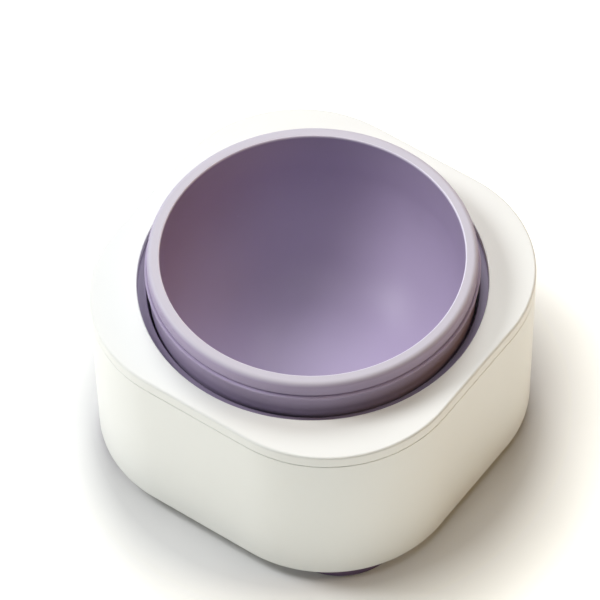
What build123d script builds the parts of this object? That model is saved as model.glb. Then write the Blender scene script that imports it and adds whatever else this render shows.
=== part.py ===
from build123d import *
import os

# Yogurt maker: a white rounded-square casing on four round feet, a thin cover plate with a round
# opening, and a lift-out bowl that stands in a heated pot.
# Millimetres, +Z up.  The origin is on the ground, under the middle of the bowl.
# The two blank faces look along -Y and +X, the control panel along -X, the power inlet along +Y.

# ---- outer shape ----
BODY_HALF = 65.0          # half of the width, at the cover
BODY_CORNER = 45.4        # radius of the upright corners, at the cover
BODY_TAPER = 0.9          # how far each wall leans in between the seam and the bottom
WALL = 2.4
FOOT_HEIGHT = 4.5
FOOT_RADIUS = 21.5
FOOT_OFFSET = 35.0        # from the middle to the foot's middle, along X and along Y
CASING_HEIGHT = 59.2
COVER_HEIGHT = 4.6
COVER_SKIN = 2.6
OPENING_RADIUS = 57.2
EDGE_ROUND = 0.8          # rounding of the cover's and casing's outer edges
SEAM_BEVEL = 0.3          # small bevels on both sides of the seam
LIP = 1.3                 # thickness of the casing's locating lip
LIP_DEPTH = 2.5           # how far the lip reaches below the seam
LIP_RISE = 1.5            # and above it
FOOT_ROUND = 1.2
PEG_RADIUS = 5.0          # the foot's peg through the base plate
BARB_RADIUS = 6.2
BARB_HEIGHT = 1.6

# ---- bowl ----
RIM_HEIGHT = 13.3         # rim above the cover
RIM_INNER = 49.5
RIM_OUTER = 53.7
RIM_ROUND = 1.8
RIM_BEVEL = 0.6           # bevel at the rim's inner edge
BAND_STEP = 0.5           # depth of the groove between the band and the bead
BAND_GAP = 0.4            # height of that groove
BEAD_NECK = 0.2           # how far the wall under the bead stands back from the band
BEAD_RADIUS = 54.5        # outermost radius of the bead under the rim
BEAD_ROUND = 0.65
BEAD_BELOW_RIM = 6.35     # bead's middle under the rim
BOWL_INNER = 48.8         # radius where the upright wall turns into the round bottom
BOWL_ARC = 36.0           # radius of the round bottom, inside
BOWL_WALL = 4.2
BOWL_PAD = 0.8            # small standing pad under the bowl
PAD_INSET = 0.8
WALL_TURN_BELOW_RIM = 15.6

# ---- collar, gasket and pot ----
COLLAR_INNER = 54.2
COLLAR_OUTER = 59.8
COLLAR_PLATE = 2.5
SKIRT_GAP = 0.2           # air between the collar's skirt and the pot's flange
GASKET_THICKNESS = 0.8
GASKET_INSET = 0.4
POT_GAP = 0.8             # air between the bowl and the pot
POT_WALL = 1.2
FLANGE_RADIUS = 57.2
STUD_RADIUS = 2.0
STUD_END = 1.8            # the stud's end, above the supply board
HEATER_FILM = 0.5
FILM_LOW = 36.0
FILM_HIGH = 55.0
INSULATION = 4.0
INSULATION_LOW = 28.0
INSULATION_GAP = 0.4      # air between the insulation and the pot frame

# ---- screws: radius of the shank ----
COVER_SCREW = 1.05
BOARD_SCREW = 1.05
PANEL_SCREW = 0.9
BASE_SCREW = 1.25
DRIVER_SLOT = 0.5         # width of the slot in a screw's head
DRIVER_DEPTH = 0.35
FIT = 0.05                # radial play of pegs and screws in their holes

# ---- heights that follow ----
SEAM_Z = FOOT_HEIGHT + CASING_HEIGHT
COVER_TOP = SEAM_Z + COVER_HEIGHT
SKIN_Z = COVER_TOP - COVER_SKIN
RIM_TOP = COVER_TOP + RIM_HEIGHT
TURN_Z = RIM_TOP - WALL_TURN_BELOW_RIM
TURN_R = BOWL_INNER - BOWL_ARC
PAD_Z = TURN_Z - BOWL_ARC - BOWL_WALL - BOWL_PAD
COLLAR_Z = SKIN_Z - COLLAR_PLATE
GASKET_Z = COLLAR_Z - GASKET_THICKNESS
FLANGE_Z = GASKET_Z - POT_WALL
POT_ARC = BOWL_ARC + BOWL_WALL + POT_GAP
POT_UNDER_Z = PAD_Z - POT_WALL
FILM_ARC = POT_ARC + POT_WALL
SLEEVE_ARC = FILM_ARC + HEATER_FILM + 0.1

# ---- pot frame ----
FRAME_RING_INNER = 55.4
FRAME_RING_OUTER = 61.0
FRAME_THICKNESS = 3.0
FRAME_Z = FLANGE_Z - FRAME_THICKNESS
FRAME_TOP = FRAME_Z + FRAME_THICKNESS
LEG_RADIUS = 3.5
LEG_FLARE = 1.0           # extra radius of the leg's head, in the ring
LEG_HOLE_DEPTH = 10.0
LEG_REACH = 64.0          # from the middle to a leg, on the diagonal
EAR_REACH = 62.6          # from the middle to a cover screw
EAR_ANGLE = 63.0
EAR_RADIUS = 3.8
EAR_HOLE = 1.3
BOSS_RADIUS = 2.6         # the cover's screw bosses

# ---- base ----
PLATE = 2.5
PLATE_TOP = FOOT_HEIGHT + PLATE
WELL_RADIUS = 3.0         # screw wells under the base plate
WELL_DEPTH = 1.5
WELL_HOLE = 1.6
VENT_LENGTH = 22.0
VENT_WIDTH = 2.4
VENT_PITCH = 6.0
VENTS_EACH_SIDE = 3
STANDOFF = 4.0
STANDOFF_RADIUS = 3.0
BOARD_Z = PLATE_TOP + STANDOFF
BOARD = 1.6
BOARD_TOP = BOARD_Z + BOARD
BOARD_X = 35.0
BOARD_Y = 22.0
BOARD_CORNER = 2.0
STANDOFF_X = 31.0
STANDOFF_Y = 18.0

# ---- parts on the supply board ----
CORE_X = 22.0
CORE_HALF_X = 6.0
CORE_HALF_Y = 8.0
CORE_TALL = 9.0
BOBBIN_HALF_X = 7.5
BOBBIN_HALF_Y = 5.0
BOBBIN_SKIRT = 1.0        # the core shows this much above and below the bobbin
CAPACITOR_RADIUS = 5.0
CAPACITOR_TALL = 10.0
CAPACITOR_X = -22.0
CAPACITOR_Y = -11.0
RELAY_X = -22.5
RELAY_Y = 5.0
RELAY_HALF_X = 6.5
RELAY_HALF_Y = 5.0
RELAY_TALL = 9.5
TERMINAL_Y = 18.5
TERMINAL_HALF_X = 8.0
TERMINAL_HALF_Y = 3.0
TERMINAL_TALL = 8.0
TERMINAL_SCREW = 1.6
TERMINAL_SCREW_DEPTH = 1.5
SMALL_ROUND = 0.6         # rounding of the capacitor's and relay's edges

# ---- under the pot ----
HEATER_RADIUS = 12.0
HEATER_THICKNESS = 2.0
TAB_X = 5.0
TAB_HALF_WIDTH = 1.6
TAB_START_Y = 9.0
TAB_END_Y = 15.0
TAB_LIFT = 0.6            # underside of the tab above the disc's underside
TAB_THICKNESS = 0.8
HEATER_LEAD = 0.8
HEATER_LEAD_Y = 13.0
SENSOR_TALL = 4.1
SENSOR_X = 8.0
SENSOR_HALF = 3.0
SENSOR_ROUND = 1.0
FUSE_X = -7.5
FUSE_HALF_LENGTH = 5.5
FUSE_ROUND = 1.9
FUSE_WIRE = 0.5
FUSE_WIRE_REACH = 9.0
BRACKET = 0.8
BRACKET_LOW_X = -11.0
BRACKET_HIGH_X = 11.5
BRACKET_HALF_Y = 3.5
NUT = 2.0
NUT_RADIUS = 4.0
HEATER_UNDER_Z = POT_UNDER_Z - HEATER_THICKNESS
BRACKET_TOP = HEATER_UNDER_Z - SENSOR_TALL

# ---- control panel, on the -X face ----
PANEL_Z = 24.0
PANEL_WIDTH = 42.0
PANEL_TALL = 18.0
PANEL_FACE_X = -64.1
PANEL_STEP_X = -61.6      # front of the flange behind the wall
PANEL_BACK_X = -60.4
PANEL_LIP = 1.5
PANEL_CORNER = 5.0
PANEL_ROUND = 0.4
LENS_LENGTH = 10.0
LENS_TALL = 3.0
LENS_LIP = 1.0            # the lens's flange reaches this much further
LENS_FLANGE = 0.8
POST_Y = 20.5
POST_Z = 8.0
POST_RADIUS = 1.8
POST_FLOOR = 0.5          # the screw hole stops this far behind the flange
BUTTON_RADIUS = 5.0
BUTTON_Y = 12.5
BUTTON_FACE_X = -64.6
BUTTON_BACK_X = -58.9
BUTTON_GAP = 0.3
BUTTON_ROUND = 0.5
BUTTON_LIP = 1.1          # the button's flange reaches this much further
CONTROL_BOARD_X = -55.4
CONTROL_BOARD = 1.2
CONTROL_BOARD_WIDTH = 46.0
CONTROL_BOARD_TALL = 20.0
SWITCH_SIZE = 6.0
SWITCH_CASE = 1.6
SWITCH_STEM = 0.6
SWITCH_STEM_RADIUS = 1.7
LAMPS = 4
LAMP_PITCH = 3.0
LAMP_WIDTH = 2.0
LAMP_TALL = 1.4
LAMP_DEPTH = 1.0
CABLE_HALF_WIDTH = 4.0
CABLE_Y = -6.0
CABLE_THICKNESS = 1.0
CABLE_HIGH = 3.6          # underside of the cable at the control board, above the supply board
CABLE_LOW = 1.4
CABLE_BEND_X = -46.0
CABLE_FALL_X = -34.0
CABLE_TURN_X = -31.0
CABLE_END_X = -30.0

# ---- power inlet, on the +Y face ----
INLET_Z = 20.0
INLET_FACE_Y = 64.1
INLET_STEP_Y = 61.8
INLET_DEPTH = 15.0
INLET_WIDTH = 22.0
INLET_TALL = 13.0
INLET_CORNER = 3.0
INLET_ROUND = 0.4
INLET_LIP_X = 2.0         # the flange behind the wall reaches this much further
INLET_LIP_Z = 1.5
INLET_FLANGE = 1.4
INLET_BODY_WIDTH = 20.0
INLET_BODY_TALL = 12.0
INLET_BODY_CORNER = 4.0
INLET_BACK_WALL = 2.0
WELL_LOBE = 4.3           # radius of the two lobes of the inlet's mouth
WELL_SPACING = 8.0
WELL_WAIST = 0.86         # height of the waist against the lobes
PIN_SPACING = 8.6
PIN_RADIUS = 1.2
PIN_INSET = 4.0           # the pins' tips lie this far behind the inlet's face
PIN_TAIL = 4.5            # and their tails this far behind the well
PIN_ROUND = 0.5
LEAD_RADIUS = 1.0
LEAD_BEND = 5.0
LEAD_LEVEL_Y = 34.0       # the leads run level until here
LEAD_FALL_Y = 28.0        # and are down at the terminal block's height here
LEAD_RISE = 4.0           # that height, above the board


def rounded_square(half, corner, z):
    """A rounded-square face at height z."""
    return Pos(0, 0, z) * RectangleRounded(2 * half, 2 * half, corner)


def slab(inset, z_low, z_high):
    """A straight block of the cover's outline, moved inwards by inset."""
    face = rounded_square(BODY_HALF - inset, BODY_CORNER - inset, z_low)
    return extrude(face, amount=z_high - z_low)


def tapered(inset, z_low, z_high):
    """A block of the casing's outline, which narrows towards the bottom, moved inwards by inset."""
    faces = []
    for z in (z_low, z_high):
        lean = BODY_TAPER * (SEAM_Z - z) / CASING_HEIGHT
        faces.append(rounded_square(BODY_HALF - lean - inset, BODY_CORNER - lean - inset, z).face())
    return loft(faces, ruled=True)


def rod(radius, z_low, z_high, x=0.0, y=0.0):
    """An upright cylinder."""
    return Pos(x, y, z_low) * extrude(Circle(radius), amount=z_high - z_low)


def ring(inner, outer, z_low, z_high):
    """An upright ring."""
    return rod(outer, z_low, z_high) - rod(inner, z_low, z_high)


def block(x_low, x_high, y_low, y_high, z_low, z_high):
    """A box between six planes."""
    middle = Pos((x_low + x_high) / 2, (y_low + y_high) / 2, (z_low + z_high) / 2)
    return middle * Box(x_high - x_low, y_high - y_low, z_high - z_low)


def turned(edges):
    """A solid turned about Z from a closed outline of edges in radius and height."""
    return revolve(Plane.XZ * make_face(edges), Axis.Z)


def along_x(shape_2d, x_low, x_high, y=0.0, z=0.0):
    """A flat shape on the YZ plane, drawn out from x_low to x_high."""
    plane = Plane(origin=(x_low, y, z), x_dir=(0, 1, 0), z_dir=(1, 0, 0))
    return extrude(plane * shape_2d, amount=x_high - x_low)


def along_y(shape_2d, y_low, y_high, x=0.0, z=0.0):
    """A flat shape on the XZ plane, drawn out from y_low to y_high."""
    plane = Plane(origin=(x, y_low, z), x_dir=(-1, 0, 0), z_dir=(0, 1, 0))
    return extrude(plane * shape_2d, amount=y_high - y_low)


def corners(x, y):
    """The four places (+-x, +-y)."""
    return [(sx * x, sy * y) for sx in (-1, 1) for sy in (-1, 1)]


def legs():
    """The places of the pot frame's legs, on the diagonals."""
    return corners(LEG_REACH * 0.5 ** 0.5, LEG_REACH * 0.5 ** 0.5)


def ears():
    """The places of the four cover screws, one beside each leg."""
    first = Vector(EAR_REACH, 0, 0).rotate(Axis.Z, EAR_ANGLE)
    places = [first.rotate(Axis.Z, 90 * n) for n in range(4)]
    return [(place.X, place.Y) for place in places]


def screw(shank, head, head_height, length):
    """A pan-head screw that points up, its head's underside face at height 0."""
    body = rod(head, -head_height, 0) + rod(shank, 0, length)
    rim = body.edges().group_by(Axis.Z)[0]
    body = fillet(rim, head_height * 0.5)
    slot = Box(head * 1.2, DRIVER_SLOT, 2 * DRIVER_DEPTH)
    return body - Pos(0, 0, DRIVER_DEPTH - head_height) * slot


def tube(points, bends, radius):
    """A round lead along straight runs joined by arcs."""
    path = FilletPolyline(*points, radius=bends)
    start = Plane(origin=path @ 0, z_dir=path % 0)
    return sweep(start * Circle(radius), path=path)


def top_cover():
    """The thin plate with the round opening, its low skirt and four screw bosses."""
    body = slab(0, SEAM_Z, COVER_TOP)
    body = fillet(body.edges().group_by(Axis.Z)[-1], EDGE_ROUND)
    body = chamfer(body.edges().group_by(Axis.Z)[0], SEAM_BEVEL)
    body -= slab(WALL, SEAM_Z, SKIN_Z)
    body -= rod(OPENING_RADIUS, SKIN_Z, COVER_TOP)
    opening = body.edges().filter_by(GeomType.CIRCLE).filter_by(
        lambda edge: abs(edge.radius - OPENING_RADIUS) < 0.01 and abs(edge.center().Z - COVER_TOP) < 0.01)
    body = fillet(opening, EDGE_ROUND / 2)
    for x, y in ears():
        body += rod(BOSS_RADIUS, FRAME_TOP, SKIN_Z, x, y)
        body -= rod(COVER_SCREW + FIT, FRAME_Z, SKIN_Z, x, y)
    return body


def outer_casing():
    """The tapered wall with its locating lip, the panel window and the inlet window."""
    body = tapered(0, FOOT_HEIGHT, SEAM_Z)
    body = fillet(body.edges().group_by(Axis.Z)[0], EDGE_ROUND)
    body = chamfer(body.edges().group_by(Axis.Z)[-1], SEAM_BEVEL)
    body -= tapered(WALL, FOOT_HEIGHT, SEAM_Z)
    low = SEAM_Z - LIP_DEPTH
    high = SEAM_Z + LIP_RISE
    body += slab(WALL - FIT, low, SEAM_Z) - slab(WALL + LIP, low, SEAM_Z)
    body += slab(WALL + 2 * FIT, low, high) - slab(WALL + LIP, low, high)
    window = RectangleRounded(PANEL_WIDTH + 2 * FIT, PANEL_TALL + 2 * FIT, PANEL_CORNER)
    body -= along_x(window, -BODY_HALF, PANEL_BACK_X, z=PANEL_Z)
    window = RectangleRounded(INLET_WIDTH + 2 * FIT, INLET_TALL + 2 * FIT, INLET_CORNER)
    body -= along_y(window, INLET_STEP_Y - WALL, BODY_HALF, z=INLET_Z)
    return body


def base_plate():
    """The floor of the casing, with vents, foot holes, screw wells and board standoffs."""
    inset = WALL + BODY_TAPER + 2 * FIT
    body = slab(inset, FOOT_HEIGHT, PLATE_TOP)
    for x, y in corners(FOOT_OFFSET, FOOT_OFFSET):
        body -= rod(PEG_RADIUS + FIT, FOOT_HEIGHT, PLATE_TOP, x, y)
    for x, y in legs():
        body -= rod(WELL_HOLE, FOOT_HEIGHT, PLATE_TOP, x, y)
        body -= rod(WELL_RADIUS, FOOT_HEIGHT, FOOT_HEIGHT + WELL_DEPTH, x, y)
    for n in range(-VENTS_EACH_SIDE, VENTS_EACH_SIDE + 1):
        slot = SlotOverall(VENT_LENGTH, VENT_WIDTH)
        body -= Pos(0, VENT_PITCH * n, FOOT_HEIGHT) * extrude(slot, amount=PLATE)
    for x, y in corners(STANDOFF_X, STANDOFF_Y):
        body += rod(STANDOFF_RADIUS, PLATE_TOP, BOARD_Z, x, y)
        body -= rod(BOARD_SCREW + FIT, FOOT_HEIGHT + 1.0, BOARD_Z, x, y)
    return body


def foot(x, y):
    """A round rubber foot with a peg and barb that hold it in the base plate."""
    pad = rod(FOOT_RADIUS, 0, FOOT_HEIGHT)
    pad = fillet(pad.edges().group_by(Axis.Z)[0], FOOT_ROUND)
    pad += rod(PEG_RADIUS, FOOT_HEIGHT, PLATE_TOP)
    barb = rod(BARB_RADIUS, PLATE_TOP, PLATE_TOP + BARB_HEIGHT)
    pad += fillet(barb.edges().group_by(Axis.Z)[-1], BARB_HEIGHT - 0.6)
    return Pos(x, y, 0) * pad


def bowl():
    """The lift-out bowl: flat rim, outer band, bead, upright wall and round bottom."""
    bead_z = RIM_TOP - BEAD_BELOW_RIM
    bead_low = bead_z - BEAD_ROUND
    bead_high = bead_z + BEAD_ROUND
    band_low = bead_high + BAND_GAP
    bead_r = BEAD_RADIUS - BEAD_ROUND
    floor_z = TURN_Z - BOWL_ARC
    outer_arc = BOWL_ARC + BOWL_WALL
    under_z = floor_z - BOWL_WALL
    edges = [
        Line((0, floor_z), (TURN_R, floor_z)),
        CenterArc((TURN_R, TURN_Z), BOWL_ARC, -90, 90),
        Polyline((BOWL_INNER, TURN_Z), (RIM_INNER, RIM_TOP - RIM_BEVEL), (RIM_INNER + RIM_BEVEL, RIM_TOP),
                 (RIM_OUTER - RIM_ROUND, RIM_TOP)),
        CenterArc((RIM_OUTER - RIM_ROUND, RIM_TOP - RIM_ROUND), RIM_ROUND, 0, 90),
        Polyline((RIM_OUTER, RIM_TOP - RIM_ROUND), (RIM_OUTER, band_low), (RIM_OUTER - BAND_STEP, band_low),
                 (RIM_OUTER - BAND_STEP, bead_high), (bead_r, bead_high)),
        CenterArc((bead_r, bead_z), BEAD_ROUND, -90, 180),
        Polyline((bead_r, bead_low), (RIM_OUTER - BEAD_NECK, bead_low), (TURN_R + outer_arc, TURN_Z)),
        CenterArc((TURN_R, TURN_Z), outer_arc, -90, 90),
        Polyline((TURN_R, under_z), (TURN_R - PAD_INSET, under_z), (TURN_R - PAD_INSET, PAD_Z),
                 (0, PAD_Z), (0, floor_z)),
    ]
    return turned(edges)


def collar_ring():
    """The ledge around the bowl and the skirt that stands on the pot frame."""
    plate = ring(COLLAR_INNER, COLLAR_OUTER, COLLAR_Z, SKIN_Z)
    skirt = ring(FLANGE_RADIUS + SKIRT_GAP, COLLAR_OUTER, FRAME_TOP, COLLAR_Z)
    return plate + skirt


def collar_gasket():
    """The soft ring between the collar and the pot's flange."""
    return ring(COLLAR_INNER + GASKET_INSET, FLANGE_RADIUS, GASKET_Z, COLLAR_Z)


def arc_band(inner_arc, outer_arc, z_low, z_high):
    """A turned shell between two arcs about the pot's turning centre, cut level at both ends."""
    def end(arc, z):
        return (TURN_R + (arc ** 2 - (TURN_Z - z) ** 2) ** 0.5, z)

    def curve(arc):
        middle = (z_low + z_high) / 2
        return ThreePointArc(end(arc, z_low), end(arc, middle), end(arc, z_high))

    edges = [curve(inner_arc), Line(end(inner_arc, z_high), end(outer_arc, z_high)),
             curve(outer_arc), Line(end(outer_arc, z_low), end(inner_arc, z_low))]
    return turned(edges)


def heating_pot():
    """The thin metal pot that follows the bowl, with a flange on top and a stud below."""
    top_r = TURN_R + (POT_ARC ** 2 - (TURN_Z - GASKET_Z) ** 2) ** 0.5
    side_r = TURN_R + (FILM_ARC ** 2 - (TURN_Z - FLANGE_Z) ** 2) ** 0.5
    middle = (PAD_Z + GASKET_Z) / 2
    inner_middle = TURN_R + (POT_ARC ** 2 - (TURN_Z - middle) ** 2) ** 0.5
    outer_middle = TURN_R + (FILM_ARC ** 2 - (TURN_Z - middle) ** 2) ** 0.5
    edges = [
        Line((0, PAD_Z), (TURN_R, PAD_Z)),
        ThreePointArc((TURN_R, PAD_Z), (inner_middle, middle), (top_r, GASKET_Z)),
        Polyline((top_r, GASKET_Z), (FLANGE_RADIUS, GASKET_Z), (FLANGE_RADIUS, FLANGE_Z),
                 (side_r, FLANGE_Z)),
        ThreePointArc((side_r, FLANGE_Z), (outer_middle, middle), (TURN_R, POT_UNDER_Z)),
        Polyline((TURN_R, POT_UNDER_Z), (0, POT_UNDER_Z), (0, PAD_Z)),
    ]
    return turned(edges) + rod(STUD_RADIUS, BOARD_TOP + STUD_END, POT_UNDER_Z)


def pot_frame():
    """The ring under the pot's flange, its four legs and the ears of the cover screws."""
    body = rod(FRAME_RING_OUTER, FRAME_Z, FRAME_TOP)
    for x, y in legs():
        body += rod(LEG_RADIUS + LEG_FLARE, FRAME_Z, FRAME_TOP, x, y)
        body += rod(LEG_RADIUS, PLATE_TOP, FRAME_Z, x, y)
        body -= rod(BASE_SCREW + FIT, PLATE_TOP, PLATE_TOP + LEG_HOLE_DEPTH, x, y)
    for x, y in ears():
        body += rod(EAR_RADIUS, FRAME_Z, FRAME_TOP, x, y)
        body -= rod(EAR_HOLE, FRAME_Z, FRAME_TOP, x, y)
    return body - rod(FRAME_RING_INNER, FRAME_Z, FRAME_TOP)


def bottom_heater():
    """The flat heating disc under the pot, with two terminal tabs."""
    body = rod(HEATER_RADIUS, HEATER_UNDER_Z, POT_UNDER_Z)
    tab_z = HEATER_UNDER_Z + TAB_LIFT
    for x in (-TAB_X, TAB_X):
        body += block(x - TAB_HALF_WIDTH, x + TAB_HALF_WIDTH, TAB_START_Y, TAB_END_Y,
                      tab_z, tab_z + TAB_THICKNESS)
    return body - rod(STUD_RADIUS + FIT, HEATER_UNDER_Z, POT_UNDER_Z)


def temperature_sensor():
    """The sensor block pressed against the heating disc."""
    body = block(SENSOR_X - SENSOR_HALF, SENSOR_X + SENSOR_HALF, -SENSOR_HALF, SENSOR_HALF,
                 BRACKET_TOP, HEATER_UNDER_Z)
    return fillet(body.edges().filter_by(Axis.Z), SENSOR_ROUND)


def thermal_fuse():
    """The one-shot fuse: a flattened capsule pressed against the heating disc."""
    middle = (BRACKET_TOP + HEATER_UNDER_Z) / 2
    section = RectangleRounded(SENSOR_TALL, SENSOR_TALL, FUSE_ROUND)
    body = along_y(section, -FUSE_HALF_LENGTH, FUSE_HALF_LENGTH, FUSE_X, middle)
    return body + along_y(Circle(FUSE_WIRE), -FUSE_WIRE_REACH, FUSE_WIRE_REACH, FUSE_X, middle)


def sensor_bracket():
    """The spring-steel strip that presses the sensor and the fuse upwards."""
    low = BRACKET_TOP - BRACKET
    body = block(BRACKET_LOW_X, BRACKET_HIGH_X, -BRACKET_HALF_Y, BRACKET_HALF_Y, low, BRACKET_TOP)
    return body - rod(STUD_RADIUS + FIT, low, BRACKET_TOP)


def heater_nut():
    """The hexagonal nut on the pot's stud."""
    low = BRACKET_TOP - BRACKET - NUT
    hexagon = extrude(RegularPolygon(NUT_RADIUS, 6), amount=NUT)
    return Pos(0, 0, low) * hexagon - rod(STUD_RADIUS + FIT, low, low + NUT)


def power_board():
    """The supply board on its four standoffs."""
    body = block(-BOARD_X, BOARD_X, -BOARD_Y, BOARD_Y, BOARD_Z, BOARD_TOP)
    body = fillet(body.edges().filter_by(Axis.Z), BOARD_CORNER)
    for x, y in corners(STANDOFF_X, STANDOFF_Y):
        body -= rod(BOARD_SCREW + FIT, BOARD_Z, BOARD_TOP, x, y)
    return body


def transformer():
    """The small supply transformer: a core with the winding bobbin through it."""
    core_top = BOARD_TOP + CORE_TALL
    core = block(CORE_X - CORE_HALF_X, CORE_X + CORE_HALF_X, -CORE_HALF_Y, CORE_HALF_Y, BOARD_TOP, core_top)
    bobbin = block(CORE_X - BOBBIN_HALF_X, CORE_X + BOBBIN_HALF_X, -BOBBIN_HALF_Y, BOBBIN_HALF_Y,
                   BOARD_TOP + BOBBIN_SKIRT, core_top - BOBBIN_SKIRT)
    return core + bobbin


def capacitor():
    """The standing smoothing capacitor."""
    body = rod(CAPACITOR_RADIUS, BOARD_TOP, BOARD_TOP + CAPACITOR_TALL, CAPACITOR_X, CAPACITOR_Y)
    return fillet(body.edges().group_by(Axis.Z)[-1], SMALL_ROUND)


def relay():
    """The relay that switches the heaters."""
    body = block(RELAY_X - RELAY_HALF_X, RELAY_X + RELAY_HALF_X, RELAY_Y - RELAY_HALF_Y,
                 RELAY_Y + RELAY_HALF_Y, BOARD_TOP, BOARD_TOP + RELAY_TALL)
    return fillet(body.edges().filter_by(Axis.Z), SMALL_ROUND)


def terminal_block():
    """The two-way block where the mains leads arrive."""
    top = BOARD_TOP + TERMINAL_TALL
    body = block(-TERMINAL_HALF_X, TERMINAL_HALF_X, TERMINAL_Y - TERMINAL_HALF_Y,
                 TERMINAL_Y + TERMINAL_HALF_Y, BOARD_TOP, top)
    for x in (-PIN_SPACING / 2, PIN_SPACING / 2):
        body -= rod(TERMINAL_SCREW, top - TERMINAL_SCREW_DEPTH, top, x, TERMINAL_Y)
    return body


def control_panel():
    """The inset front plate with its flange, button holes, light slot and board posts."""
    face = RectangleRounded(PANEL_WIDTH, PANEL_TALL, PANEL_CORNER)
    body = along_x(face, PANEL_FACE_X, PANEL_STEP_X, z=PANEL_Z)
    body = fillet(body.edges().group_by(Axis.X)[0], PANEL_ROUND)
    flange = RectangleRounded(PANEL_WIDTH + 2 * PANEL_LIP, PANEL_TALL + 2 * PANEL_LIP, PANEL_CORNER + 1.0)
    body += along_x(flange, PANEL_STEP_X, PANEL_BACK_X, z=PANEL_Z)
    for y in (-BUTTON_Y, BUTTON_Y):
        body -= along_x(Circle(BUTTON_RADIUS + BUTTON_GAP), PANEL_FACE_X, PANEL_BACK_X, y, PANEL_Z)
    slot = SlotOverall(LENS_LENGTH + 2 * FIT, LENS_TALL + 2 * FIT)
    body -= along_x(slot, PANEL_FACE_X, PANEL_BACK_X, z=PANEL_Z)
    for y, z in corners(POST_Y, POST_Z):
        body += along_x(Circle(POST_RADIUS), PANEL_BACK_X, CONTROL_BOARD_X, y, PANEL_Z + z)
        hole = Circle(PANEL_SCREW + FIT)
        body -= along_x(hole, PANEL_BACK_X + POST_FLOOR, CONTROL_BOARD_X, y, PANEL_Z + z)
    return body


def button(y):
    """A round push button with a retaining flange behind the panel."""
    body = along_x(Circle(BUTTON_RADIUS), BUTTON_FACE_X, BUTTON_BACK_X, y, PANEL_Z)
    body = fillet(body.edges().group_by(Axis.X)[0], BUTTON_ROUND)
    flange_x = PANEL_BACK_X + BUTTON_GAP
    return body + along_x(Circle(BUTTON_RADIUS + BUTTON_LIP), flange_x, BUTTON_BACK_X, y, PANEL_Z)


def indicator_lens():
    """The frosted strip over the indicator lamps."""
    body = along_x(SlotOverall(LENS_LENGTH, LENS_TALL), PANEL_FACE_X, PANEL_BACK_X, z=PANEL_Z)
    flange = SlotOverall(LENS_LENGTH + 2 * LENS_LIP, LENS_TALL + 2 * LENS_LIP)
    return body + along_x(flange, PANEL_BACK_X, PANEL_BACK_X + LENS_FLANGE, z=PANEL_Z)


def control_board():
    """The upright board behind the panel."""
    back = CONTROL_BOARD_X + CONTROL_BOARD
    sheet = RectangleRounded(CONTROL_BOARD_WIDTH, CONTROL_BOARD_TALL, BOARD_CORNER)
    body = along_x(sheet, CONTROL_BOARD_X, back, z=PANEL_Z)
    for y, z in corners(POST_Y, POST_Z):
        body -= along_x(Circle(PANEL_SCREW + FIT), CONTROL_BOARD_X, back, y, PANEL_Z + z)
    return body


def tact_switches():
    """The two switches that the buttons press."""
    switches = []
    case_x = CONTROL_BOARD_X - SWITCH_CASE
    for y in (-BUTTON_Y, BUTTON_Y):
        case = along_x(Rectangle(SWITCH_SIZE, SWITCH_SIZE), case_x, CONTROL_BOARD_X, y, PANEL_Z)
        case = fillet(case.edges().filter_by(Axis.X), 0.5)
        stem = along_x(Circle(SWITCH_STEM_RADIUS), case_x - SWITCH_STEM, case_x, y, PANEL_Z)
        switches.append(case + stem)
    return Compound(children=switches)


def indicator_lamps():
    """The row of four small lamps behind the frosted strip."""
    lamps = []
    for n in range(LAMPS):
        y = LAMP_PITCH * (n - (LAMPS - 1) / 2)
        lamp = Rectangle(LAMP_WIDTH, LAMP_TALL)
        lamps.append(along_x(lamp, CONTROL_BOARD_X - LAMP_DEPTH, CONTROL_BOARD_X, y, PANEL_Z))
    return Compound(children=lamps)


def figure_eight(lobe, spacing):
    """Two round lobes joined by a flat waist, the mouth of a two-pin inlet."""
    shape = Rectangle(spacing, 2 * lobe * WELL_WAIST)
    for x in (-spacing / 2, spacing / 2):
        shape += Pos(x, 0) * Circle(lobe)
    return shape


def inlet_socket():
    """The two-pin inlet: an inset face, a flange behind the wall and a deep figure-eight well."""
    back = INLET_FACE_Y - INLET_DEPTH
    end = back - INLET_BACK_WALL
    face = RectangleRounded(INLET_WIDTH, INLET_TALL, INLET_CORNER)
    flange = RectangleRounded(INLET_WIDTH + 2 * INLET_LIP_X, INLET_TALL + 2 * INLET_LIP_Z, INLET_CORNER)
    tail = RectangleRounded(INLET_BODY_WIDTH, INLET_BODY_TALL, INLET_BODY_CORNER)
    body = along_y(face, INLET_STEP_Y, INLET_FACE_Y, z=INLET_Z)
    body = fillet(body.edges().group_by(Axis.Y)[-1], INLET_ROUND)
    body += along_y(flange, INLET_STEP_Y - INLET_FLANGE, INLET_STEP_Y, z=INLET_Z)
    body += along_y(tail, end, INLET_STEP_Y, z=INLET_Z)
    body -= along_y(figure_eight(WELL_LOBE, WELL_SPACING), back, INLET_FACE_Y, z=INLET_Z)
    for x in (-PIN_SPACING / 2, PIN_SPACING / 2):
        body -= along_y(Circle(PIN_RADIUS + FIT), end, back, x, INLET_Z)
    return body


def inlet_pins():
    """The two contact pins, through the back of the well."""
    tail = INLET_FACE_Y - INLET_DEPTH - PIN_TAIL
    pins = []
    for x in (-PIN_SPACING / 2, PIN_SPACING / 2):
        pin = along_y(Circle(PIN_RADIUS), tail, INLET_FACE_Y - PIN_INSET, x, INLET_Z)
        pins.append(fillet(pin.edges().group_by(Axis.Y)[-1], PIN_ROUND))
    return Compound(children=pins)


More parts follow.
